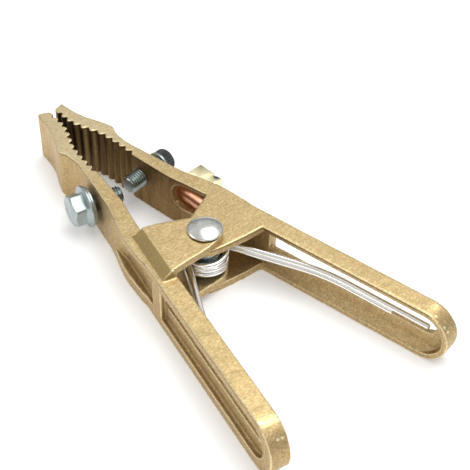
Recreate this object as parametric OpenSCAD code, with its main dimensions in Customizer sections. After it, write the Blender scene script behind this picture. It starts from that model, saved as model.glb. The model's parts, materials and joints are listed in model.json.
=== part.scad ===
// Brass welding ground clamp: two cast arms on a riveted pivot, two torsion
// springs, a lug bolt in each jaw and a copper cable sleeve under a saddle block.
// Origin: pivot axis on the resting plane. +X to the handle ends, +Z up the pivot.

/* [Arms] */
// height of both arms, resting plane to rim
arm_h = 23.7; // [18:0.1:32]
// half angle between the handles
handle_a = 11.46; // [6:0.01:18]
// distance from pivot axis to the inner face of a handle
handle_in = 19.32; // [14:0.01:26]
// plan width of a handle flange
handle_w = 8; // [6:0.1:12]
// pivot axis to the handle end, measured along the handle
handle_len = 100.1; // [70:0.1:140]
// flange thickness at the inner pocket
flange_in = 2.4; // [1.8:0.1:4]
// flange thickness at the outer pockets
flange_out = 4.4; // [2:0.1:6]
// web thickness
web_t = 2.7; // [2:0.1:5]
// depth of the inner pocket
pocket_in = 3; // [1:0.1:5]
// slope left at the foot of the web by the casting draft
pocket_draft = 2.6; // [0:0.1:4]
// long slot through the web: lower edge above the resting plane
slot_z = 11; // [8:0.1:16]
// slot start and end along the handle
slot_u = [15.6, 93.8]; // [0:0.1:110]
// rib between the two outer pockets, start and end along the handle
rib_u = [7.8, 15.2]; // [0:0.1:40]
// front end of the outer pocket between jaw and rib
fore_x = -36; // [-60:1:-20]

/* [Jaws] */
// number of teeth in each jaw
teeth = 11; // [6:1:16]
// spacing of the teeth
tooth_pitch = 4.15; // [2.5:0.05:6]
// depth of the teeth
tooth_depth = 1.7; // [0.8:0.1:3]

/* [Pivot] */
// thickness of the four pivot ears
ear_t = 3.4; // [2.5:0.1:5]
// running gap between two ears
ear_gap = 0.3; // [0.2:0.05:0.6]
// radius of the lower left ear round the pivot
ear_r = 9.2; // [7:0.1:13]
// rivet shank diameter
rivet_d = 8; // [6:0.1:10]
// rivet head diameter
rivet_head_d = 14.4; // [11:0.1:20]
// rivet head height
rivet_head_h = 2.9; // [1.5:0.1:5]

/* [Springs] */
// wire diameter
wire_d = 2.25; // [1.6:0.1:3]
// mean coil radius
coil_r = 8.45; // [6:0.05:12]
// facets round the wire
wire_fn = 8; // [6:1:16]

/* [Lug bolts] */
// bolt thread diameter
bolt_d = 8; // [6:0.5:10]
// distance of the left bolt ahead of the pivot
bolt_x_left = 56.4; // [45:0.1:70]
// distance of the right screw ahead of the pivot
bolt_x_right = 57.6; // [45:0.1:70]
// height of the left bolt
bolt_z_left = 11.9; // [8:0.1:16]
// height of the right screw
bolt_z_right = 13.2; // [8:0.1:16]
// hex size across flats
bolt_af = 13; // [10:0.5:17]
// flange diameter of the hex bolt
bolt_flange_d = 18.4; // [14:0.1:24]

/* [Cable socket] */
// sleeve outside diameter
sleeve_d = 9; // [7:0.1:14]
// sleeve bore
sleeve_bore = 7.4; // [5:0.1:12]
// sleeve length
sleeve_l = 26; // [18:0.5:40]
// sleeve direction in plan
sleeve_a = 4.5; // [0:0.5:20]
// sleeve centre
sleeve_pos = [-30.2, 20.8, 12.7];
// origin of the saddle block's frame
block_pos = [-30.2, 21.5, 13.7];
// saddle block length
block_l = 13; // [10:0.5:24]

/* [View] */
// sub-part to draw

/* [Hidden] */
$fn = 64;
eps = 0.05;
brass = [0.78, 0.62, 0.34];
zinc = [0.80, 0.82, 0.84];
copper = [0.80, 0.48, 0.34];
black = [0.10, 0.10, 0.11];

// jaw outline of one arm, from the tip back to the handle
jaw_out = [[-110.5, 6.4], [-103.5, 7.1], [-96, 8.8], [-90.5, 11.2], [-85.5, 13.2], [-81.6, 14.1],
    [-78, 12.8], [-72.5, 12.4], [-67.5, 12.8], [-61.5, 14], [-50.5, 16.2], [-38.5, 18.9],
    [-28.5, 22.4], [-19.9, 25.1], [-6, 27.2]];
jaw_in = [[-108.8, 1.8], [-106.5, 1], [-98.5, 1], [-94.5, 1.7], [-90.5, 2.9], [-86.5, 4.6], [-82, 6.4],
    [-77.5, 7.3], [-69.5, 8.3], [-60.5, 9], [-54.5, 9.8], [-46.5, 10.9], [-38, 12.2], [-29.2, 14.6],
    [-20, 16.8]];
// outline of the two right ears and of the raised left ear, front root to back root
ear_right = [[-20.3, 17.4], [-14.8, 6.4], [-9.2, -4.6], [-5.2, -7.2], [0, -8.4], [4, -7.2], [7, -3.8],
    [8.1, 0.1], [8.6, 3.8], [9, 8.3], [9.4, 14], [9.7, 22.1]];
ear_raised = [[-16.9, 17.9], [-15.8, 13.2], [-13.5, 7.9], [-10.2, 0.8], [-8.2, -3.2], [-4.6, -6], [0, -7.4],
    [4.2, -5.8], [6.5, -2.6], [7.7, 0.7], [8.5, 4.6], [8.9, 9.5], [9.2, 16.5], [9.9, 23.8]];
jaw_at = [for (i = [1:len(jaw_in) - 1]) jaw_in[i]];

ear_top = arm_h - ear_t;                          // underside of the right top ear
rise_z = arm_h + ear_gap;                         // underside of the left top ear
low_z = ear_t + ear_gap;                          // underside of the left bottom ear
coil_gap = [low_z + ear_t, ear_top];              // room for sleeve and coils
legs_z = coil_gap[1] - 5.35;                      // plane between the two springs
coil_rise = wire_d + 0.05;                        // rise of one turn
web_in = handle_in + pocket_in;
web_out = web_in + web_t;
end_c = handle_len - arm_h / 2;
bolt_a = 10;                                      // bolts stand square to the jaw wall
left_gap = 1.5;                                   // bolt flange to jaw wall
right_gap = 6.8;                                  // screw head to jaw wall

// ---- helpers ----
function tangent(p, r, s) = let (b = atan2(p.y, p.x), a = acos(r / norm(p)))
    [r * cos(b + s * a), r * sin(b + s * a)];
// point in a handle frame (along, out) to plan
function hp(u, o) = [u * cos(handle_a) - o * sin(handle_a), u * sin(handle_a) + o * cos(handle_a)];

module flip(left) { if (left) mirror([0, 1, 0]) children(); else children(); }

// side-view shape pushed through the handle from offset o0 to o1
module through(o0, o1) {
    rotate([0, 0, handle_a]) translate([0, o1, 0]) rotate([90, 0, 0]) linear_extrude(o1 - o0) children();
}

// smooth curve through a list of points, n steps between two of them
function curve(p, n = 4) = let (m = len(p) - 1) concat([for (i = [0:m - 1]) for (k = [0:n - 1])
    let (t = k / n, a = p[max(i - 1, 0)], b = p[i], c = p[i + 1], d = p[min(i + 2, m)])
        b + (c - a) * t / 2 + (2 * a - 5 * b + 4 * c - d) * t * t / 2
            + (3 * b - a - 3 * c + d) * t * t * t / 2],
    [p[m]]);

module plan() {
    inside = curve(jaw_in);
    polygon(concat(curve(jaw_out), [hp(2, handle_in + handle_w), hp(handle_len, handle_in + handle_w),
        hp(handle_len, handle_in), hp(2, handle_in)],
        [for (i = [len(inside) - 1:-1:0]) inside[i]]));
}

module side_round(r, from, c = end_c) {
    translate([from, arm_h / 2 - r]) square([c - from, 2 * r]);
    translate([c, arm_h / 2]) circle(r, $fn = 96);
}

// inner pocket, open towards the other arm, with sloped floor and roof
module inner_pocket() {
    intersection() {
        through(handle_in - 14, web_in) side_round(arm_h / 2 - flange_in, -13);
        rotate([0, 0, handle_a]) rotate([90, 0, 90]) translate([0, 0, -13]) linear_extrude(handle_len + 20)
            polygon([[handle_in - 15, flange_in], [handle_in + 0.6, flange_in],
                [web_in, flange_in + pocket_draft], [web_in, arm_h - flange_in - pocket_draft],
                [handle_in + 0.6, arm_h - flange_in], [handle_in - 15, arm_h - flange_in]]);
    }
}

module outer_pocket() {
    through(web_out, handle_in + handle_w + 5)
        side_round(arm_h / 2 - flange_out, rib_u[1], end_c - 1.5);
}

// tapered pocket between the jaw and the rib
module fore_plan() {
    polygon([[fore_x, 40], [fore_x, 19.4], [-24, 20.2], hp(2, web_out),
        hp(rib_u[0], web_out), hp(rib_u[0], 60)]);
}

module web_slot() {
    h = arm_h - flange_in - 0.4 - slot_z;
    end = slot_u[1] - h / 2;
    through(web_in - 1, web_out + 1) {
        translate([slot_u[0], slot_z]) square([end - slot_u[0], h]);
        translate([end, slot_z + h / 2]) circle(h / 2);
    }
}

module tooth_cuts() {
    for (i = [0:teeth - 1]) {
        x = -104.4 + i * tooth_pitch;
        y = lookup(x, jaw_at);
        a = atan2(lookup(x + 1, jaw_at) - lookup(x - 1, jaw_at), 2);
        translate([x, y, -1]) rotate([0, 0, a]) translate([0, -0.3, 0]) rotate([0, 0, 45])
            linear_extrude(arm_h + 2) square((tooth_depth + 0.3) * 1.414, center = true);
    }
}

// lower left ear in plan: round the pivot, widening to its root on the arm
module ear_plan(r, front, back) {
    circle(r, $fn = 96);
    polygon([front, tangent(front, r - eps, 1), [0, 0], tangent(back, r - eps, -1), back]);
}

module bore(d, z0, z1) { translate([0, 0, z0]) cylinder(d = d, h = z1 - z0); }

module jaw_hole(x, z) {
    bolt_place(x, z) cylinder(d = bolt_d + 0.1, h = 30, center = true);
}

// ---- arms ----
module arm_blank() {
    intersection() {
        linear_extrude(arm_h) plan();
        union() {
            through(-40, 60) side_round(arm_h / 2, -10);
            translate([-130, -5, 0]) cube([124, 50, arm_h]);
        }
    }
}

module arm_cuts() {
    inner_pocket();
    outer_pocket();
    web_slot();
    tooth_cuts();
}

module right_arm() color(brass) {
    difference() {
        union() {
            difference() {
                arm_blank();
                arm_cuts();
                translate([0, 0, 5]) linear_extrude(arm_h - 10)
                    polygon([hp(-4, web_out), hp(rib_u[0], web_out), hp(rib_u[0], 60), hp(-4, 60)]);
            }
            for (z = [0, ear_top]) translate([0, 0, z]) linear_extrude(ear_t)
                polygon(curve(ear_right));
        }
        jaw_hole(bolt_x_right, bolt_z_right);
        bore(rivet_d + 0.1, -1, arm_h + 1);
        bore(13.4, -1, 1.2);
        sleeve_window();
        sleeve_place() rotate([0, 90, 0]) cylinder(d = sleeve_d + 0.1, h = sleeve_l + 6, center = true);
        for (x = screw_x) screw_place(x) translate([0, 0, -3.4]) cylinder(d = 4, h = 20);
    }
}

module left_arm() color(brass) mirror([0, 1, 0]) {
    difference() {
        union() {
            difference() {
                arm_blank();
                arm_cuts();
                translate([0, 0, 5.4]) linear_extrude(arm_h - 9) fore_plan();
            }
            translate([0, 0, low_z]) linear_extrude(ear_t) ear_plan(ear_r, [-17.6, 21], [10.6, 26]);
            translate([0, 0, rise_z]) linear_extrude(ear_t) polygon(curve(ear_raised));
            ear_ramp(ear_raised[0] - [0.1, 0], ear_raised[len(ear_raised) - 1] + [0.1, 0]);
        }
        jaw_hole(bolt_x_left, bolt_z_left);
        bore(rivet_d + 0.1, -1, arm_h + ear_t + 1);
    }
}

// sloped root that carries the raised ear up from the rim
module ear_ramp(front, back) {
    d = back - front;
    translate([front.x, front.y, arm_h - 0.4]) rotate([0, 0, atan2(d.y, d.x)]) rotate([90, 0, 90])
        linear_extrude(norm(d)) polygon([[-0.8, 0], [4.9, 0], [0.3, 0.43 + ear_gap + ear_t],
            [-0.8, 0.43 + ear_gap + ear_t]]);
}

// ---- pivot ----
module pivot_rivet() color(zinc) {
    head_z = rise_z + ear_t + 0.25;
    rr = (pow(rivet_head_d / 2, 2) + pow(rivet_head_h - 0.6, 2)) / (2 * (rivet_head_h - 0.6));
    translate([0, 0, 0]) cylinder(d = rivet_d, h = head_z + 0.4);
    intersection() {
        translate([0, 0, head_z]) cylinder(d = rivet_head_d, h = rivet_head_h + 1);
        translate([0, 0, head_z + rivet_head_h - rr]) sphere(rr, $fn = 128);
    }
}

module rivet_tail_washer() color(zinc) {
    difference() { cylinder(d = 13.2, h = 1.15); bore(rivet_d, -1, 3); }
}

module pivot_sleeve() color(zinc) {
    difference() {
        bore(12, coil_gap[0] + 0.3, coil_gap[1]);
        bore(rivet_d + 0.1, 0, arm_h);
    }
}

// ---- torsion springs: right leg, coil, left leg as one swept wire ----
function ring(p, q, n) = let (t = (q - p) / norm(q - p), s = cross([0, 0, 1], t), sn = s / norm(s),
    w = cross(t, sn)) [for (i = [0:n - 1]) p + wire_d / 2 * (cos(360 * i / n) * sn + sin(360 * i / n) * w)];
// leg centre line: straight off the coil, then bent along the web, in plan
leg_a = 27;
leg_end_o = web_in - wire_d / 2 - 0.3;
leg_s = tan(leg_a - handle_a);
leg_0 = coil_r * [sin(handle_a - leg_a), cos(handle_a - leg_a)];
leg_bend = 33;
leg_rest = leg_end_o - leg_0.y - (leg_bend - leg_0.x) * leg_s;
leg_bend_l = 2 * leg_rest / leg_s;
function leg_o(u) = u < leg_bend ? leg_0.y + (u - leg_0.x) * leg_s :
    leg_end_o - leg_rest * pow(max(0, 1 - (u - leg_bend) / leg_bend_l), 2);
function leg(l, z, side, drop = 0) = [for (i = [0:8])
    let (u = i == 0 ? 7 : i == 8 ? l : leg_bend + leg_bend_l * (i - 1) / 6, p = hp(u, leg_o(u)))
        [p.x, side * p.y, z - drop * min(1, (u - 7) / 40)]];
// level turns lying on each other, each stepping up over its last part
function lift(k) = floor(k) + max(0, (k - floor(k) - 0.6) / 0.4);
function path(turns, z0, dz, l, drop = 0) = let (n = ceil(turns * 20), r = leg(l, z0, 1)) concat(
    [for (i = [8:-1:0]) r[i]],
    [for (i = [0:n]) let (t = 90 + leg_a + 360 * turns * i / n)
        [coil_r * cos(t), coil_r * sin(t), z0 + dz * lift(turns * i / n)]],
    leg(l, z0 + dz * lift(turns), -1, drop));
module sweep(p) {
    m = len(p);
    n = wire_fn;
    rings = [for (i = [0:m - 1]) ring(p[i], p[i] + (i == 0 ? p[1] - p[0] : i == m - 1 ? p[i] - p[i - 1]
        : p[i + 1] - p[i - 1]), n)];
    pts = [for (r = rings) for (q = r) q];
    side = [for (i = [0:m - 2]) for (j = [0:n - 1])
        [i * n + j, i * n + (j + 1) % n, (i + 1) * n + (j + 1) % n, (i + 1) * n + j]];
    polyhedron(pts, concat([[for (j = [n - 1:-1:0]) j]], side, [[for (j = [0:n - 1]) (m - 1) * n + j]]),
        convexity = 10);
}
module spring_upper() color(zinc)
    sweep(path(1.35, legs_z + wire_d / 2 + 0.02, coil_rise, 91, 1.1));
module spring_lower() color(zinc)
    sweep(path(2.35, legs_z - wire_d / 2 - 0.02, -coil_rise, 75.2));

// ---- lug bolts ----
// frame on a jaw: z axis outwards from the outer wall
module bolt_place(x, z, left = false) {
    flip(left) translate([-x, 15.3 + (56.4 - x) * 0.2, z]) rotate([0, 0, bolt_a]) rotate([-90, 0, 0])
        children();
}

module left_lug_bolt() color(zinc) bolt_place(bolt_x_left, bolt_z_left, true) {
    translate([0, 0, -13]) cylinder(d = bolt_d, h = 13 + left_gap + 2);
    translate([0, 0, left_gap + 1.2]) {
        cylinder(d = bolt_flange_d, h = 1.3);
        translate([0, 0, 1.3]) rotate_extrude() polygon([[0, 0], [bolt_flange_d / 2, 0],
            [bolt_af / 2 - 0.2, 1.5], [0, 1.5]]);
        intersection() {
            linear_extrude(7.8) circle(d = bolt_af / cos(30), $fn = 6);
            rotate_extrude() polygon([[0, 0], [bolt_af / 2 + 1.1, 0], [bolt_af / 2 + 1.1, 6.9],
                [bolt_af / 2 - 0.5, 7.8], [0, 7.8]]);
        }
    }
}

module washer(d, bore_d, t) {
    difference() { cylinder(d = d, h = t); translate([0, 0, -1]) cylinder(d = bore_d, h = t + 2); }
}

module left_lug_washer() color(zinc) bolt_place(bolt_x_left, bolt_z_left, true)
    translate([0, 0, left_gap]) washer(17, bolt_d + 0.02, 1.2);

module right_lug_screw() color(zinc) bolt_place(bolt_x_right, bolt_z_right)
    translate([0, 0, -12.9]) cylinder(d = bolt_d, h = 12.9 + right_gap + 4.6);

module right_screw_washer() color(zinc) bolt_place(bolt_x_right, bolt_z_right)
    translate([0, 0, right_gap - 1]) washer(11.4, bolt_d + 0.02, 1);

module right_screw_cap() color(black) bolt_place(bolt_x_right, bolt_z_right) translate([0, 0, right_gap])
    difference() {
        union() {
            cylinder(d = 10, h = 4.4);
            translate([0, 0, 4.4]) cylinder(d = 9, h = 0.6);
            for (i = [0:23]) rotate([0, 0, 15 * i]) translate([5, 0, 0.5]) cylinder(d = 0.7, h = 3.4);
        }
        translate([0, 0, -1]) cylinder(d = bolt_d, h = 5.6);
    }

// ---- cable socket on the right arm ----
screw_x = [-3.9, 3.9];
module sleeve_place() { translate(sleeve_pos) rotate([0, 0, sleeve_a]) children(); }
module block_place() { translate(block_pos) rotate([0, 0, sleeve_a]) children(); }
// screw frame: z axis outwards, x along the block
module screw_place(x) {
    block_place() translate([x, 0, -8.4]) rotate([-90, 0, 0]) children();
}

module sleeve_window() {
    translate([-31.4, 26, 0]) rotate([90, 0, 0]) linear_extrude(16) {
        translate([0, 8.7]) square([11, 13.1]);
        translate([0, 15.25]) circle(6.55);
    }
}

module cable_sleeve() color(copper) sleeve_place() rotate([0, 90, 0]) difference() {
    cylinder(d = sleeve_d, h = sleeve_l, center = true);
    cylinder(d = sleeve_bore, h = sleeve_l + 2, center = true);
}

module sleeve_block() color(brass) difference() {
    block_place() translate([-block_l / 2, -3, -11.6]) cube([block_l, 9.75, 21]);
    translate([0, 0, -3]) linear_extrude(arm_h + 9) plan();
    sleeve_place() rotate([0, 90, 0]) cylinder(d = sleeve_d + 0.02, h = 60, center = true);
    for (x = screw_x) screw_place(x) cylinder(d = 4.4, h = 30, center = true);
    sleeve_place() set_axis() cylinder(d = 4.1, h = 20);
}

module block_screws() color(black) for (x = screw_x) screw_place(x) {
    translate([0, 0, -3.35]) cylinder(d = 3.98, h = 11.4);
    translate([0, 0, 7.8]) difference() {
        cylinder(d = 7, h = 4);
        translate([0, 0, 2]) cylinder(d = 3.46, h = 4, $fn = 6);
    }
}

module block_spring_washers() color(zinc) for (x = screw_x) screw_place(x)
    translate([0, 0, 6.78]) washer(7, 4.02, 1);

module set_axis() { translate([3.9, 0, 0]) rotate([-38, 0, 0]) children(); }
module sleeve_set_screw() color(black) sleeve_place() set_axis() translate([0, 0, sleeve_d / 2 + 0.3])
    difference() {
        cylinder(d = 4, h = 7.2);
        translate([0, 0, 5]) cylinder(d = 2.3, h = 4, $fn = 6);
    }

// ---- assembly ----
right_arm();
left_arm();
pivot_rivet();
rivet_tail_washer();
pivot_sleeve();
spring_upper();
spring_lower();
left_lug_bolt();
left_lug_washer();
right_lug_screw();
right_screw_cap();
right_screw_washer();
cable_sleeve();
sleeve_block();
block_screws();
block_spring_washers();
sleeve_set_screw();
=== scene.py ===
"""Brass welding ground clamp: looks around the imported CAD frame."""

import json
import math

import bmesh
import bpy
import numpy as np
from mathutils import Matrix, Vector


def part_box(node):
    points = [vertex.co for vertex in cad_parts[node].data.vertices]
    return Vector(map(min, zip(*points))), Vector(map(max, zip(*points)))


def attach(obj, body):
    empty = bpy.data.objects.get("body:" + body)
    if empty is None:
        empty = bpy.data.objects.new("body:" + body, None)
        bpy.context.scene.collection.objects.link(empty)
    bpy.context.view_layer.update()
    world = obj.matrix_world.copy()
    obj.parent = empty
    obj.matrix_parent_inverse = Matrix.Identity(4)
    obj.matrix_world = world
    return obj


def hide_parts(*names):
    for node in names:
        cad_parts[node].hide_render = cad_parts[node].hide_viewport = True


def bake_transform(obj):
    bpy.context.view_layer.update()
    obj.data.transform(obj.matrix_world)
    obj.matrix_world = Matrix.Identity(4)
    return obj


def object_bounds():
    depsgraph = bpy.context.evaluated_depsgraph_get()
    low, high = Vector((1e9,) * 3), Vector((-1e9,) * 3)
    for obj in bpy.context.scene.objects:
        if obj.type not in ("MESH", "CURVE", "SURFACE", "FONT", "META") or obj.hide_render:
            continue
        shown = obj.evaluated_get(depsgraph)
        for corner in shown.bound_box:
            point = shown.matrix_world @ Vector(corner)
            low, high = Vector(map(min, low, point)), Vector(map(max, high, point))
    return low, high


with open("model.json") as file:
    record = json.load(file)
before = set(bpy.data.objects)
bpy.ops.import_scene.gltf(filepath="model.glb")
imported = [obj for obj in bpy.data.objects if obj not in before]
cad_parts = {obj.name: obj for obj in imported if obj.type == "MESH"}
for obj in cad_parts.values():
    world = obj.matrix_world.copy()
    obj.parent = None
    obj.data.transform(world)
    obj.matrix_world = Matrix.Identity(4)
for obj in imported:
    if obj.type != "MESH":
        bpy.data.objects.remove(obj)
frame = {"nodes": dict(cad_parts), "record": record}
cad_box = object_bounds()

MM = 0.001
TAU = 2 * math.pi
mounts = {m["name"]: m for m in frame["record"]["mounts"]}
nodes = frame["nodes"]

# ---------------------------------------------------------------- dimensions, mm
ARM_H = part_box("right_arm")[1].z / MM  # rim height
HANDLE_A = math.radians(11.46)  # half angle between the handles
WEB_IN = 22.32  # pivot axis to the inner face of a handle's web
WIRE_D = 2.25
COIL_R = 8.45
LEG_A = math.radians(27)  # direction in which a spring leg leaves its coil
LEG_STRAIGHT = 33  # straight length of a leg before it bends along the web
COIL_RISE = WIRE_D + 0.05  # rise of one turn

LEG_CLEAR = 0.3  # gap between a leg and the web it lies along
UPPER_TURNS, UPPER_LEG = 1.35, 91.0  # turns, and how far the legs reach along the handles
LOWER_TURNS, LOWER_LEG = 2.35, 75.2
LEG_DROP = 1.1  # how far the upper spring's left leg sinks on its way along the handle
DROP_START, DROP_RUN = 7, 40  # where along the handle it sinks

BOLT_D, BOLT_PITCH = 8.0, 1.25
BOLT_AF, BOLT_FLANGE_D = 13.0, 18.4
BOLT_HEAD_H = 7.8  # flange and hexagon
BORE_FIT = 0.01  # washer bore past the thread, on radius
TIP_CHAMFER = 0.9
# each lug stud, from its mount outwards to the washer or cap and inwards to the thread's end
LEFT_GAP, LEFT_TIP = 1.5, 13.0
LEFT_WASHER_R, LEFT_WASHER_T = 8.5, 1.2
RIGHT_GAP, RIGHT_TIP = 6.8, 12.9
RIGHT_WASHER_R, RIGHT_WASHER_T = 5.7, 1
CAP_R, CAP_H = 5.1, 5.0

RIVET_R = 4.0
RIVET_HEAD_H, RIVET_RIM = 2.65, 0.62  # whole head, and its upright rim

SLEEVE_BORE_R, SLEEVE_R, SLEEVE_HALF = 3.7, 4.5, 13  # copper cable sleeve


# ---------------------------------------------------------------- mesh helpers
def add_object(name, verts, faces, sharp=None):
    """A smooth-shaded mesh from points in metres; edges past `sharp` degrees stay crisp."""
    mesh = bpy.data.meshes.new(name)
    mesh.from_pydata([tuple(map(float, v)) for v in verts], [], faces)
    obj = bpy.data.objects.new(name, mesh)
    bpy.context.scene.collection.objects.link(obj)
    finish_shading(obj, sharp)
    return obj


def finish_shading(obj, sharp):
    """Normals outwards, smooth faces, and the edges past `sharp` degrees marked."""
    bm = bmesh.new()
    bm.from_mesh(obj.data)
    bmesh.ops.recalc_face_normals(bm, faces=bm.faces)
    for f in bm.faces:
        f.smooth = True
    if sharp is not None:
        limit = math.radians(sharp)
        for e in bm.edges:
            if len(e.link_faces) == 2 and e.calc_face_angle() > limit:
                e.smooth = False
    bm.to_mesh(obj.data)
    bm.free()


def grid_faces(rows, n, wrap_rows=False):
    """Quads of a grid of `rows` rings with n points each, every ring closed."""
    last = rows if wrap_rows else rows - 1
    return [
        (i * n + j, i * n + (j + 1) % n, (i + 1) % rows * n + (j + 1) % n, (i + 1) % rows * n + j)
        for i in range(last)
        for j in range(n)
    ]


def turned(name, rows, place, n=96, ring=False, sharp=32):
    """A turned piece. Each row is (radius, height) in mm, as numbers or functions of the angle.
    `ring` joins the last row to the first, for a washer; else both ends close on the axis."""
    theta = np.arange(n) * TAU / n
    verts = []
    for r, z in rows:
        rr = r(theta) if callable(r) else np.full(n, float(r))
        zz = z(theta) if callable(z) else np.full(n, float(z))
        verts += list(np.stack([rr * np.cos(theta), rr * np.sin(theta), zz], 1))
    faces = grid_faces(len(rows), n, ring)
    if not ring:
        for row, flip in ((0, True), (len(rows) - 1, False)):
            centre = len(verts)
            verts.append(np.array([0, 0, np.mean([v[2] for v in verts[row * n : row * n + n]])]))
            for j in range(n):
                tri = (row * n + j, row * n + (j + 1) % n, centre)
                faces.append(tri[::-1] if flip else tri)
    verts = np.array(verts) * MM
    verts = [place @ Vector(v) for v in verts]
    return add_object(name, verts, faces, sharp)


def rounded(r0, r1, z0, z1, e=0.25, steps=3):
    """Washer section between two radii and two heights, its four corners rounded by e."""
    out = []
    corners = [
        (r1 - e, z0 + e, -90),
        (r1 - e, z1 - e, 0),
        (r0 + e, z1 - e, 90),
        (r0 + e, z0 + e, 180),
    ]
    for cr, cz, start in corners:
        for k in range(steps + 1):
            a = math.radians(start + 90 * k / steps)
            out.append((cr + e * math.cos(a), cz + e * math.sin(a)))
    return out


def along(pos, axis):
    """Matrix that puts local +Z on an axis through pos, both in the row frame."""
    z = Vector(axis).normalized()
    x = Vector((0, 0, 1)).cross(z)
    x = x.normalized() if x.length > 1e-6 else Vector((1, 0, 0))
    m = Matrix((x, z.cross(x), z)).transposed().to_4x4()
    m.translation = Vector(pos)
    return m


def sweep(name, path, section, sharp=35):
    """A tube: `section` is a list of (u, v) in mm, carried along `path` with v kept upright."""
    path = np.array(path, float)
    tangent = np.gradient(path, axis=0)
    tangent /= np.linalg.norm(tangent, axis=1)[:, None]
    side = np.cross([0, 0, 1.0], tangent)
    side /= np.linalg.norm(side, axis=1)[:, None]
    up = np.cross(tangent, side)
    section = np.array(section, float)
    n = len(section)
    across, upwards = section[None, :, :1], section[None, :, 1:]
    rings = path[:, None] + across * side[:, None] + upwards * up[:, None]
    verts = rings.reshape(-1, 3)
    faces = grid_faces(len(path), n)
    faces += [tuple(range(n))[::-1], tuple(range((len(path) - 1) * n, len(path) * n))]
    return add_object(name, verts * MM, faces, sharp)


def circle(r, n=20):
    """Section points of a round wire."""
    return [(r * math.cos(TAU * k / n), r * math.sin(TAU * k / n)) for k in range(n)]


# ---------------------------------------------------------------- material helper
class Shader:
    """A Principled material with short ways to add nodes; places are the piece's, in metres."""

    def __init__(self, name):
        self.mat = bpy.data.materials.new(name)
        self.mat.use_nodes = True
        self.tree = self.mat.node_tree
        self.bsdf = next(n for n in self.tree.nodes if n.type == "BSDF_PRINCIPLED")
        self.coord = self.tree.nodes.new("ShaderNodeTexCoord")
        self.place = self.coord.outputs["Object"]
        self.normal = self.coord.outputs["Normal"]

    def put(self, socket, value):
        if isinstance(value, bpy.types.NodeSocket):
            self.tree.links.new(value, socket)
        elif isinstance(value, (tuple, list)) and len(value) == 3 and socket.type == "RGBA":
            socket.default_value = (*value, 1)
        else:
            socket.default_value = value

    def math(self, op, a, b=0.0):
        n = self.tree.nodes.new("ShaderNodeMath")
        n.operation = op
        self.put(n.inputs[0], a)
        self.put(n.inputs[1], b)
        return n.outputs[0]

    def scaled(self, v, by):
        n = self.tree.nodes.new("ShaderNodeVectorMath")
        n.operation = "MULTIPLY"
        self.put(n.inputs[0], v)
        self.put(n.inputs[1], by)
        return n.outputs["Vector"]

    def split(self, v):
        n = self.tree.nodes.new("ShaderNodeSeparateXYZ")
        self.put(n.inputs[0], v)
        return n.outputs

    def join(self, x, y, z):
        n = self.tree.nodes.new("ShaderNodeCombineXYZ")
        for s, v in zip(n.inputs, (x, y, z)):
            self.put(s, v)
        return n.outputs[0]

    def noise(self, size, detail=3, rough=0.55, stretch=None, place=None, distort=0.0):
        """Noise whose features are about `size` mm across, from 0 to 1."""
        n = self.tree.nodes.new("ShaderNodeTexNoise")
        v = self.place if place is None else place
        if stretch:
            v = self.scaled(v, stretch)
        self.put(n.inputs["Vector"], v)
        n.inputs["Scale"].default_value = 1 / (size * MM)
        n.inputs["Detail"].default_value = detail
        n.inputs["Roughness"].default_value = rough
        n.inputs["Distortion"].default_value = distort
        return n.outputs["Fac"]

    def step(self, x, low, high):
        """0 below low, 1 above high, smooth between; low may be above high."""
        n = self.tree.nodes.new("ShaderNodeMapRange")
        n.interpolation_type = "SMOOTHSTEP"
        self.put(n.inputs["Value"], x)
        flip = low > high
        n.inputs["From Min"].default_value = high if flip else low
        n.inputs["From Max"].default_value = low if flip else high
        n.inputs["To Min"].default_value = 1.0 if flip else 0.0
        n.inputs["To Max"].default_value = 0.0 if flip else 1.0
        return n.outputs["Result"]

    def mix(self, fac, a, b):
        n = self.tree.nodes.new("ShaderNodeMix")
        n.data_type = "RGBA"
        self.put(n.inputs["Factor"], fac)
        self.put(n.inputs["A"], a)
        self.put(n.inputs["B"], b)
        return n.outputs["Result"]

    def times(self, a, b):
        return self.math("MULTIPLY", a, b)

    def tint(self, color, mask, amount, over):
        """`over` laid on `color` where mask is 1, as strongly as `amount` says."""
        return self.mix(self.times(mask, amount), color, over)

    def lerp(self, fac, a, b):
        n = self.tree.nodes.new("ShaderNodeMix")
        n.data_type = "FLOAT"
        self.put(n.inputs["Factor"], fac)
        self.put(n.inputs["A"], a)
        self.put(n.inputs["B"], b)
        return n.outputs["Result"]

    def occlusion(self, reach):
        n = self.tree.nodes.new("ShaderNodeAmbientOcclusion")
        n.samples = 6
        n.only_local = True
        n.inputs["Distance"].default_value = reach * MM
        return n.outputs["AO"]

    def edges(self):
        n = self.tree.nodes.new("ShaderNodeNewGeometry")
        return n.outputs["Pointiness"]

    def bump(self, height, depth, strength=1.0, under=None):
        """depth is the real height in mm of the whole 0..1 range."""
        n = self.tree.nodes.new("ShaderNodeBump")
        self.put(n.inputs["Strength"], strength)
        n.inputs["Distance"].default_value = depth * MM
        self.put(n.inputs["Height"], height)
        if under is not None:
            self.put(n.inputs["Normal"], under)
        return n.outputs["Normal"]

    def out(self, color, rough, metallic=1.0, normal=None):
        self.put(self.bsdf.inputs["Base Color"], color)
        self.put(self.bsdf.inputs["Roughness"], rough)
        self.put(self.bsdf.inputs["Metallic"], metallic)
        if normal is not None:
            self.put(self.bsdf.inputs["Normal"], normal)
        return self.mat


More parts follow.
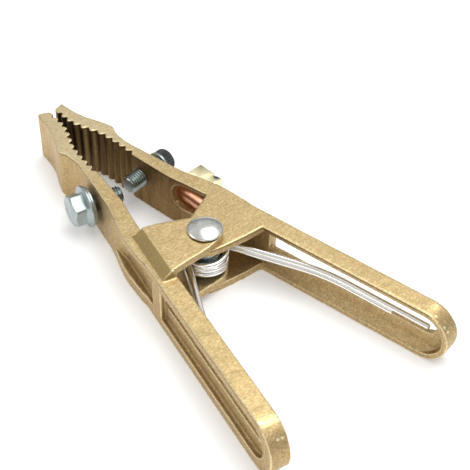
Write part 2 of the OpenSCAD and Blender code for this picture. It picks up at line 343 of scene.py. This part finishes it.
# ---------------------------------------------------------------- materials
def cast_brass():
    s = Shader("cast_brass")
    x, y, z = s.split(s.place)
    _, ny, nz = s.split(s.normal)
    level = s.math("ABSOLUTE", nz)  # 1 where the surface lies flat
    side = s.math("SIGN", y)
    flat = s.step(level, 0.86, 0.97)
    # ground zones: both rims, the ear flush with them and the raised ear
    rim = s.step(z, (ARM_H - 1.0) * MM, (ARM_H - 0.5) * MM)
    foot = s.step(z, 0.5 * MM, 0.2 * MM)
    ground = s.times(flat, s.math("MAXIMUM", rim, foot))
    # the unground slope that carries the raised ear, painted darker as shade
    tilted = s.times(s.step(level, 0.2, 0.35), s.step(level, 0.94, 0.86))
    slope = s.times(tilted, s.step(z, (ARM_H - 0.1) * MM, (ARM_H + 0.5) * MM))
    # walls that face the other arm, where shade is painted, darkest between the jaws
    inward = s.step(s.times(s.times(ny, side), -1), 0.25, 0.6)
    mouth = s.step(x, -0.018, -0.034)
    bite = s.step(x, -0.055, -0.085)
    # marks of the grinder run square to each handle: u runs along it, o outwards
    ay = s.math("ABSOLUTE", y)
    cos_a, sin_a = math.cos(HANDLE_A), math.sin(HANDLE_A)
    u = s.math("ADD", s.times(x, cos_a), s.times(ay, sin_a))
    o = s.math("SUBTRACT", s.times(ay, cos_a), s.times(x, sin_a))
    brushed = s.join(u, o, z)
    marks = s.noise(0.30, 3, 0.62, stretch=(1, 0.13, 0.4), place=brushed)
    wide = s.noise(0.75, 2, 0.5, stretch=(1, 0.22, 0.4), place=brushed)
    fleck = s.noise(0.7, 2, 0.7)
    ground_fleck = s.noise(0.55, 2, 0.65, stretch=(1, 0.4, 1), place=brushed)
    blotch = s.noise(9, 3, 0.6, distort=0.6)
    patch = s.noise(3.0, 3, 0.6)
    grain = s.noise(0.5, 4, 0.7)
    drip = s.noise(2.2, 3, 0.6, stretch=(1, 1, 0.12))
    pits = s.step(s.noise(0.62, 3, 0.7), 0.64, 0.74)
    hollow_shade = s.step(s.occlusion(9), 0.90, 0.35)  # painted shade deep in the casting, partly patina
    edge = s.step(s.edges(), 0.512, 0.562)

    # ground faces
    tone = s.mix(s.step(blotch, 0.35, 0.68), (0.72, 0.53, 0.245), (0.68, 0.465, 0.22))
    tone = s.tint(tone, s.step(patch, 0.55, 0.78), 0.6, (0.57, 0.43, 0.19))
    bright = s.mix(s.step(marks, 0.40, 0.70), tone, (0.88, 0.70, 0.37))
    bright = s.tint(bright, s.step(wide, 0.50, 0.75), 0.35, (0.52, 0.375, 0.165))
    # brighter towards the jaws, darker along the handles
    bright = s.tint(bright, s.step(x, 0.015, 0.055), 0.42, (0.50, 0.37, 0.17))
    bright = s.tint(bright, s.step(x, -0.045, -0.08), 0.55, (0.99, 0.86, 0.56))
    bright = s.tint(bright, s.step(ground_fleck, 0.51, 0.64), 0.42, (0.42, 0.30, 0.125))
    bright = s.tint(bright, s.step(ground_fleck, 0.46, 0.34), 0.45, (1.0, 0.88, 0.55))
    # cast skin, and painted shade on the walls between the jaws
    skin = s.mix(s.step(blotch, 0.3, 0.7), (0.52, 0.395, 0.20), (0.56, 0.39, 0.19))
    skin = s.tint(skin, s.step(fleck, 0.47, 0.37), 0.55, (0.80, 0.61, 0.32))
    skin = s.tint(skin, s.step(fleck, 0.51, 0.62), 0.60, (0.28, 0.19, 0.075))
    skin = s.tint(skin, s.step(drip, 0.45, 0.75), 0.6, (0.42, 0.29, 0.14))
    skin = s.tint(skin, s.step(grain, 0.48, 0.72), 0.7, (0.36, 0.26, 0.12))
    # painted shade in the hollows, partly patina
    skin = s.tint(skin, hollow_shade, 0.85, (0.27, 0.165, 0.07))
    # painted shade and dark reflection from the other jaw, darkest deep in the bite
    jaw_shade = s.mix(s.step(drip, 0.35, 0.7), (0.34, 0.205, 0.072), (0.20, 0.115, 0.040))
    jaw_shade = s.tint(jaw_shade, s.step(fleck, 0.51, 0.62), 0.45, (0.12, 0.068, 0.024))
    jaw_shade = s.tint(jaw_shade, bite, 0.6, (0.085, 0.047, 0.020))
    skin = s.tint(skin, s.times(inward, mouth), 0.92, jaw_shade)
    # painted shade on the slope
    slope_shade = s.mix(s.step(grain, 0.35, 0.7), (0.46, 0.34, 0.15), (0.30, 0.215, 0.085))
    skin = s.mix(slope, skin, slope_shade)
    # the two together, with pits, painted highlights along the edges (partly rubbed wear) and a
    # painted shadow line under the rim's edge
    color = s.mix(ground, skin, bright)
    color = s.tint(color, pits, s.lerp(ground, 0.55, 0.6), (0.26, 0.165, 0.06))
    # painted highlight along the edges, partly rubbed wear, weaker between the jaws
    edge_highlight_and_wear = s.times(edge, s.lerp(s.times(inward, mouth), 0.8, 0.45))
    color = s.mix(edge_highlight_and_wear, color, (1.0, 0.87, 0.55))
    upright = s.step(level, 0.55, 0.3)
    # painted shadow line under the rim's edge, on upright faces
    rim_shadow_line = s.times(
        s.step(z, (ARM_H - 1.25) * MM, (ARM_H - 0.85) * MM),
        s.step(z, (ARM_H - 0.3) * MM, (ARM_H - 0.6) * MM),
    )
    color = s.tint(color, s.times(rim_shadow_line, upright), 0.65, (0.10, 0.06, 0.02))

    rough = s.lerp(ground, s.lerp(hollow_shade, 0.42, 0.55), s.lerp(marks, 0.30, 0.42))
    metallic = s.lerp(s.times(hollow_shade, 0.5), 1.0, 0.7)
    cast = s.bump(grain, 0.20, s.lerp(ground, 0.9, 0.15))
    cast = s.bump(patch, 0.30, s.lerp(ground, 0.7, 0.2), cast)
    cast = s.bump(fleck, 0.14, s.lerp(ground, 0.8, 0.22), cast)
    cast = s.bump(marks, 0.06, s.times(ground, 0.8), cast)
    cast = s.bump(pits, -0.10, 0.7, cast)
    return s.out(color, rough, metallic, cast)


def zinc(name, base=(0.40, 0.46, 0.455), rough=(0.24, 0.38), mottle=0.35):
    s = Shader(name)
    cloud = s.noise(2.2, 4, 0.6, distort=0.4)
    fine = s.noise(0.25, 3, 0.6)
    dark = tuple(c * 0.62 for c in base)
    color = s.tint(base, s.step(cloud, 0.42, 0.72), mottle, dark)
    color = s.tint(color, s.step(fine, 0.5, 0.8), 0.25, dark)
    # painted shade in the hollows
    hollow_shade = s.step(s.occlusion(1.6), 0.9, 0.3)
    color = s.tint(color, hollow_shade, 0.7, tuple(c * 0.28 for c in base))
    bump = s.bump(cloud, 0.05, 0.5)
    bump = s.bump(fine, 0.012, 0.5, bump)
    return s.out(color, s.lerp(cloud, *rough), 1.0, bump)


def spring_wire():
    s = Shader("spring_wire")
    cloud = s.noise(1.4, 3, 0.6, stretch=(0.35, 1, 1))
    fine = s.noise(0.16, 2, 0.5, stretch=(0.15, 1, 1))
    # painted shade where the wire lies in hollows
    hollow_shade = s.step(s.occlusion(2.2), 0.85, 0.3)
    color = s.tint((0.96, 0.96, 0.94), s.step(cloud, 0.5, 0.8), 0.2, (0.72, 0.72, 0.70))
    color = s.tint(color, hollow_shade, 0.65, (0.20, 0.19, 0.16))
    return s.out(color, s.lerp(cloud, 0.14, 0.28), 1.0, s.bump(fine, 0.01, 0.4))


def copper():
    s = Shader("copper")
    drawn = s.noise(0.3, 3, 0.6, stretch=(0.08, 1, 1))
    cloud = s.noise(3.5, 3, 0.6)
    color = s.mix(s.step(cloud, 0.4, 0.7), (0.86, 0.46, 0.30), (0.74, 0.36, 0.22))
    color = s.tint(color, s.step(drawn, 0.5, 0.8), 0.35, (0.45, 0.20, 0.12))
    return s.out(color, s.lerp(drawn, 0.24, 0.38), 1.0, s.bump(drawn, 0.03, 0.5))


def pale_brass():
    s = Shader("pale_brass")
    milled = s.noise(0.28, 2, 0.5, stretch=(0.1, 1, 1))
    cloud = s.noise(4, 2, 0.5)
    color = s.mix(s.step(cloud, 0.35, 0.7), (0.95, 0.87, 0.56), (0.90, 0.79, 0.47))
    color = s.tint(color, s.step(milled, 0.55, 0.8), 0.3, (0.72, 0.60, 0.32))
    color = s.tint(color, s.step(s.edges(), 0.52, 0.6), 0.5, (0.98, 0.93, 0.70))
    return s.out(color, s.lerp(milled, 0.28, 0.42), 1.0, s.bump(milled, 0.02, 0.5))


def black(name, metallic, rough):
    s = Shader(name)
    speck = s.noise(0.3, 3, 0.6)
    wear = s.times(s.step(s.edges(), 0.53, 0.62), 0.35)
    color = s.mix(s.step(speck, 0.5, 0.8), (0.022, 0.022, 0.025), (0.06, 0.06, 0.065))
    color = s.mix(wear, color, (0.22, 0.22, 0.23))
    return s.out(color, s.lerp(speck, rough, rough + 0.15), metallic, s.bump(speck, 0.03, 0.6))


BRASS = cast_brass()
ZINC = zinc("zinc_bolt")
POLISHED = zinc("zinc_polished", (0.80, 0.81, 0.76), (0.14, 0.30), 0.6)
WIRE = spring_wire()
COPPER = copper()
PALE = pale_brass()
CAP_BLACK = black("black_cap", 0.0, 0.42)
OXIDE = black("black_oxide", 0.9, 0.30)


def dress(obj, mat, body=None, stands_for=()):
    """Give a piece its material and, if it is new, body and the nodes it replaces."""
    obj.data.materials.clear()
    obj.data.materials.append(mat)
    if body:
        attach(obj, body)
    if stands_for:
        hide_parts(*stands_for)
    return obj


# ---------------------------------------------------------------- arms
def cast_arm(name):
    """The CAD arm with softened casting edges and a slightly uneven skin."""
    obj = nodes[name]
    weld = obj.modifiers.new("weld", "WELD")
    weld.merge_threshold = 1e-6
    remesh = obj.modifiers.new("skin", "REMESH")
    remesh.mode = "VOXEL"
    remesh.voxel_size = 0.42 * MM
    remesh.use_smooth_shade = True
    soft = obj.modifiers.new("soften", "SMOOTH")
    soft.factor = 0.5
    soft.iterations = 2
    waves = bpy.data.textures.new(name + "_waves", "CLOUDS")
    waves.noise_scale = 5.5 * MM
    waves.noise_depth = 3
    uneven = obj.modifiers.new("uneven", "DISPLACE")
    uneven.texture = waves
    uneven.texture_coords = "LOCAL"
    uneven.strength = 0.22 * MM
    uneven.mid_level = 0.5
    dress(obj, BRASS)


cast_arm("right_arm")
cast_arm("left_arm")


# ---------------------------------------------------------------- bolts
def hex_radius(af, corner):
    """Radius of a hexagon of that size across flats, its corners cut at `corner`."""
    def radius(theta):
        part = (theta + TAU / 12) % (TAU / 6) - TAU / 12
        return np.minimum(af / 2 / np.cos(part), corner)
    return radius


def thread_rows(z0, z1, r, pitch, steps=10):
    """Rows of a screw thread from z0 down or up to z1, with a chamfered tip at z1."""
    depth = 0.58 * pitch
    count = int(abs(z1 - z0) / pitch * steps)
    rows = []
    for k in range(count + 1):
        z = z0 + (z1 - z0) * k / count
        left = abs(z1 - z)
        run = min(1.0, abs(z - z0) / pitch)

        def radius(theta, z=z, left=left, run=run):
            phase = (z / pitch + theta / TAU) % 1.0
            v = np.abs(2 * phase - 1)  # 0 at the root, 1 at the crest
            groove = np.clip((0.86 - v) / 0.74, 0, 1)
            return np.minimum(r - depth * groove * run, r - max(0.0, TIP_CHAMFER - left))

        rows.append((radius, z))
    return rows


def hex_flange_bolt(name, place, gap, washer_t, tip):
    """A hex flange bolt with a dished head, from the head's middle down to its tip."""
    r, flange = BOLT_D / 2, BOLT_FLANGE_D / 2
    corner = BOLT_AF / 2 / math.cos(TAU / 12) - 0.18
    hexa = hex_radius(BOLT_AF, corner)
    z0 = gap + washer_t  # underside of the flange
    top = z0 + BOLT_HEAD_H
    flat = BOLT_AF / 2 - 0.5  # radius within which the head's top is flat
    ring = BOLT_AF / 2 - 0.55
    dish = 4.4

    def top_at(radius):
        return lambda th: top - np.maximum(0, radius(th) - flat) * 0.62

    def flange_at(radius, slope):
        return lambda th: z0 + 1.3 + (flange - 0.2 - radius(th)) * slope

    rows = [(0.6, top - 0.35), (dish - 0.5, top - 0.35), (dish, top - 0.1), (dish + 0.25, top)]
    rows.append((ring, top))
    for k in (0.25, 0.5, 0.75, 1.0):
        edge = lambda th, k=k: ring + (hexa(th) - BOLT_AF / 2 + 0.55) * k
        rows.append((edge, top_at(edge)))
    cone, foot = top_at(hexa), flange_at(hexa, 0.50)
    rows += [
        (hexa, lambda th: cone(th) - 0.12),
        (hexa, lambda th: foot(th) + 0.5),
        (lambda th: hexa(th) + 0.12, lambda th: foot(th) + 0.16),
        (lambda th: hexa(th) + 0.45, lambda th: foot(th) - 0.12),
    ]
    for k in (0.4, 0.7, 1.0):
        mid = lambda th, k=k: (hexa(th) + 0.45) * (1 - k) + (flange - 0.35) * k
        rows.append((mid, flange_at(mid, 0.48)))
    rows += [(flange - 0.1, z0 + 1.2), (flange, z0 + 0.95), (flange, z0 + 0.3)]
    rows += [(flange - 0.25, z0), (r + 0.4, z0), (r, z0 - 0.3), (r, gap)]
    rows += thread_rows(gap - 0.2, -tip, r, BOLT_PITCH)
    rows.append((r - 1.3, -tip - 0.02))
    return turned(name, rows, place, n=120)


def washer(name, place, r1, z0, z1, e=0.25):
    """A round washer on a bolt, out to radius r1, between heights z0 and z1."""
    section = rounded(BOLT_D / 2 + BORE_FIT, r1, z0, z1, e)
    return turned(name, section, place, ring=True)


left_place = along(mounts["left_lug_stud"]["pos_m"], mounts["left_lug_stud"]["axis"])
right_place = along(mounts["right_lug_stud"]["pos_m"], mounts["right_lug_stud"]["axis"])

bolt = hex_flange_bolt("left_bolt_turned", left_place, LEFT_GAP, LEFT_WASHER_T, LEFT_TIP)
dress(bolt, ZINC, "left_bolt", ["left_lug_bolt"])
left_washer = washer(
    "left_washer_turned", left_place, LEFT_WASHER_R, LEFT_GAP, LEFT_GAP + LEFT_WASHER_T
)
dress(left_washer, ZINC, "left_bolt", ["left_lug_washer"])

screw_top = RIGHT_GAP + CAP_H
screw_rows = [(BOLT_D / 2 - 0.6, screw_top - 0.45), (BOLT_D / 2 - 0.1, screw_top - 0.9)]
screw_rows += thread_rows(screw_top - 1, -RIGHT_TIP, BOLT_D / 2, BOLT_PITCH)
screw_rows.append((BOLT_D / 2 - 1.3, -RIGHT_TIP - 0.02))
screw = turned("right_screw_turned", screw_rows, right_place, n=72)
dress(screw, ZINC, "right_screw", ["right_lug_screw"])
right_washer = washer(
    "right_washer_turned", right_place, RIGHT_WASHER_R, RIGHT_GAP - RIGHT_WASHER_T, RIGHT_GAP, 0.2
)
dress(right_washer, ZINC, "right_screw", ["right_screw_washer"])


def knurled_cap(name, place, z0, height, r, ribs=24):
    """A moulded cap with upright ribs round its rim and a shallow dish in its top."""
    def knurl(base, depth):
        return lambda th: base - depth * (0.5 + 0.5 * np.cos(ribs * th)) ** 0.6

    top = z0 + height
    rows = [(BOLT_D / 2 - 0.7, z0 + 0.02), (r - 0.7, z0)]
    rows += [(knurl(r - 0.15, 0.1), z0 + 0.2), (knurl(r + 0.2, 0.4), z0 + 0.7)]
    rows += [(knurl(r + 0.2, 0.45), z0 + height * k) for k in (0.3, 0.5, 0.7)]
    rows += [(knurl(r + 0.15, 0.4), top - 0.85), (r - 0.3, top - 0.25), (r - 0.7, top)]
    rows += [(r - 1.6, top), (r - 1.9, top - 0.25), (0.8, top - 0.25)]
    return turned(name, rows, place, n=ribs * 8)


cap = knurled_cap("right_cap_moulded", right_place, RIGHT_GAP, CAP_H, CAP_R)
dress(cap, CAP_BLACK, "right_screw", ["right_screw_cap"])

# ---------------------------------------------------------------- pivot
low, high = (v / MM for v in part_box("pivot_rivet"))
HEAD_R = (high.x - low.x) / 2
upright = Matrix.Identity(4)


def rivet():
    """The domed head, the shank and the riveted tail."""
    top, under = high.z, high.z - RIVET_HEAD_H
    dome = RIVET_HEAD_H - RIVET_RIM
    sphere = (HEAD_R**2 + dome**2) / (2 * dome)
    rows = []
    for k in range(1, 15):
        r = (HEAD_R - 0.12) * k / 14
        rows.append((r, top - sphere + math.sqrt(sphere**2 - r**2)))
    rows += [(HEAD_R, under + RIVET_RIM - 0.12), (HEAD_R, under + 0.25), (HEAD_R - 0.25, under)]
    rows += [(RIVET_R + 0.2, under), (RIVET_R, under - 0.3)]
    rows += [(RIVET_R, 0.4), (RIVET_R - 0.3, 0.05)]
    return turned("pivot_rivet_headed", rows, upright, n=96)


dress(rivet(), POLISHED, "right_arm", ["pivot_rivet"])
tail_section = rounded(RIVET_R, 6.6, 0.03, 1.15, 0.2)
tail = turned("rivet_tail_washer_turned", tail_section, upright, ring=True)
dress(tail, ZINC, "right_arm", ["rivet_tail_washer"])
s_low, s_high = (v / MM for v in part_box("pivot_sleeve"))
spacer = rounded(RIVET_R + 0.05, 6.0, s_low.z, s_high.z, 0.3)
tube = turned("pivot_sleeve_turned", spacer, upright, ring=True)
dress(tube, ZINC, "right_arm", ["pivot_sleeve"])


# ---------------------------------------------------------------- springs
def handle_point(u, o):
    """A place in a handle's own frame (along, outwards) as plan x, y."""
    cos_a, sin_a = math.cos(HANDLE_A), math.sin(HANDLE_A)
    return (u * cos_a - o * sin_a, u * sin_a + o * cos_a)


def leg_offset(u):
    """How far out a spring leg lies: straight off the coil, then bent to lie along the web."""
    slope = math.tan(LEG_A - HANDLE_A)
    start_u, start_o = COIL_R * math.sin(HANDLE_A - LEG_A), COIL_R * math.cos(HANDLE_A - LEG_A)
    if u < LEG_STRAIGHT:
        return start_o + (u - start_u) * slope
    end_o = WEB_IN - WIRE_D / 2 - LEG_CLEAR
    rest = end_o - start_o - (LEG_STRAIGHT - start_u) * slope
    reach = 2 * rest / slope
    return end_o - rest * max(0.0, 1 - (u - LEG_STRAIGHT) / reach) ** 2


def lift(k):
    """Height after k turns, in turns: each lies level and steps up over its last part."""
    t = max(0.0, (k % 1 - 0.6) / 0.4)
    return math.floor(k) + t * t * (3 - 2 * t)


def leg(length, z, side, drop=0.0):
    """Points of one leg, from the coil to its end; it sinks by `drop` on the way."""
    straight = np.linspace(-1.5, LEG_STRAIGHT, 14)
    us = np.concatenate([straight, np.linspace(LEG_STRAIGHT + 1.5, length, 44)])
    points = []
    for u in us:
        x, y = handle_point(u, leg_offset(u))
        points.append((x, side * y, z - drop * min(1.0, max(0.0, u - DROP_START) / DROP_RUN)))
    return points


def spring(name, node, turns, z0, rise, length, drop=0.0):
    """Right leg, coil and left leg of one torsion spring."""
    count = int(turns * 64)
    coil = []
    for k in range(count + 1):
        t = TAU / 4 + LEG_A + TAU * turns * k / count
        z = z0 + rise * lift(turns * k / count)
        coil.append((COIL_R * math.cos(t), COIL_R * math.sin(t), z))
    left = leg(length, z0 + rise * lift(turns), -1, drop)
    wire = sweep(name, leg(length, z0, 1)[::-1] + coil + left, circle(WIRE_D / 2, 20))
    dress(wire, WIRE)
    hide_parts(node)
    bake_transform(wire)


upper_z = (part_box("spring_upper")[0] / MM).z + WIRE_D / 2
lower_z = (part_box("spring_lower")[1] / MM).z - WIRE_D / 2
spring("upper_spring_wire", "spring_upper", UPPER_TURNS, upper_z, COIL_RISE, UPPER_LEG, LEG_DROP)
spring("lower_spring_wire", "spring_lower", LOWER_TURNS, lower_z, -COIL_RISE, LOWER_LEG)

# ---------------------------------------------------------------- cable socket
sleeve_place = along(mounts["cable_socket"]["pos_m"], mounts["cable_socket"]["axis"])
section = rounded(SLEEVE_BORE_R, SLEEVE_R, -SLEEVE_HALF, SLEEVE_HALF, 0.25)
sleeve = turned("cable_sleeve_tube", section, sleeve_place, ring=True, n=72)
dress(sleeve, COPPER, "right_arm", ["cable_sleeve"])


def machined(node, mat, width=0.25):
    """A CAD node that keeps its shape and gets broken edges."""
    obj = nodes[node]
    weld = obj.modifiers.new("weld", "WELD")
    weld.merge_threshold = 2e-6
    bevel = obj.modifiers.new("edges", "BEVEL")
    bevel.width = width * MM
    bevel.segments = 2
    bevel.limit_method = "ANGLE"
    bevel.angle_limit = math.radians(38)
    bevel.use_clamp_overlap = True
    bevel.harden_normals = True
    for p in obj.data.polygons:
        p.use_smooth = True
    dress(obj, mat)


machined("sleeve_block", PALE, 0.35)
machined("block_screws", OXIDE, 0.2)
machined("block_spring_washers", ZINC, 0.1)
machined("sleeve_set_screw", OXIDE, 0.15)


# ---------------------------------------------------------------- studio
def floor():
    """A pale floor just under the clamp."""
    corners = [(-3, -3, 0), (3, -3, 0), (3, 3, 0), (-3, 3, 0)]
    mesh = bpy.data.meshes.new("studio_floor")
    mesh.from_pydata(corners, [], [(0, 1, 2, 3)])
    obj = bpy.data.objects.new("studio_floor", mesh)
    bpy.context.scene.collection.objects.link(obj)
    obj.location.z = cad_box[0][2] - 0.0002
    s = Shader("floor_white")
    s.out((0.93, 0.93, 0.93), 0.85, 0.0)
    s.bsdf.inputs["Emission Color"].default_value = (1, 1, 1, 1)
    s.bsdf.inputs["Emission Strength"].default_value = 0.20
    s.bsdf.inputs["Specular IOR Level"].default_value = 0.2
    obj.data.materials.append(s.mat)


def softbox(name, at, size, power, aim=(0, 0, 0.01)):
    """A soft rectangular light at `at`, turned towards `aim`."""
    light = bpy.data.lights.new(name, "AREA")
    light.shape = "RECTANGLE"
    light.size, light.size_y = size
    light.energy = power
    obj = bpy.data.objects.new(name, light)
    bpy.context.scene.collection.objects.link(obj)
    obj.location = at
    obj.rotation_euler = (Vector(aim) - Vector(at)).to_track_quat("-Z", "Y").to_euler()


def studio():
    """Floor, three softboxes and a plain grey surround."""
    floor()
    softbox("overhead", (0.1, 0.25, 0.9), (0.9, 0.7), 6.0)
    softbox("front_left", (-0.5, -0.7, 0.55), (0.5, 0.5), 1.3)
    softbox("front_right", (0.62, -0.8, 0.30), (0.4, 0.3), 1.1)
    world = bpy.data.worlds.new("studio")
    world.use_nodes = True
    bpy.context.scene.world = world
    tree = world.node_tree
    back = next(n for n in tree.nodes if n.type == "BACKGROUND")
    coord = tree.nodes.new("ShaderNodeTexCoord")
    split = tree.nodes.new("ShaderNodeSeparateXYZ")
    ramp = tree.nodes.new("ShaderNodeValToRGB")
    tree.links.new(coord.outputs["Generated"], split.inputs[0])
    tree.links.new(split.outputs["Z"], ramp.inputs[0])
    # dim below, brightest a little above the horizon, softer overhead
    stops = ramp.color_ramp.elements
    stops[0].position, stops[0].color = 0.0, (0.16, 0.16, 0.165, 1)
    stops[1].position, stops[1].color = 0.60, (1.0, 1.0, 1.0, 1)
    stops.new(0.74).color = (0.80, 0.80, 0.80, 1)
    tree.links.new(ramp.outputs[0], back.inputs["Color"])
    back.inputs["Strength"].default_value = 0.75


studio()

# seen from above and beside the handles, looking along the clamp to the jaws
CAMERA_AT = (0.26364, -0.21029, 0.33194)
CAMERA_DIRECTION = (-0.5617, 0.4810, -0.6731)
CAMERA_UP = (-0.5198, 0.4278, 0.7395)
camera_data = bpy.data.cameras.new("camera")
camera_data.sensor_width = 36
camera_data.lens = 88.87
camera = bpy.data.objects.new("camera", camera_data)
bpy.context.scene.collection.objects.link(camera)
back = -Vector(CAMERA_DIRECTION).normalized()
right = Vector(CAMERA_UP).cross(back).normalized()
turn = Matrix((right, back.cross(right), back)).transposed().to_4x4()
turn.translation = Vector(CAMERA_AT)
camera.matrix_world = turn
bpy.context.scene.camera = camera
bpy.context.scene.view_settings.view_transform = "Standard"
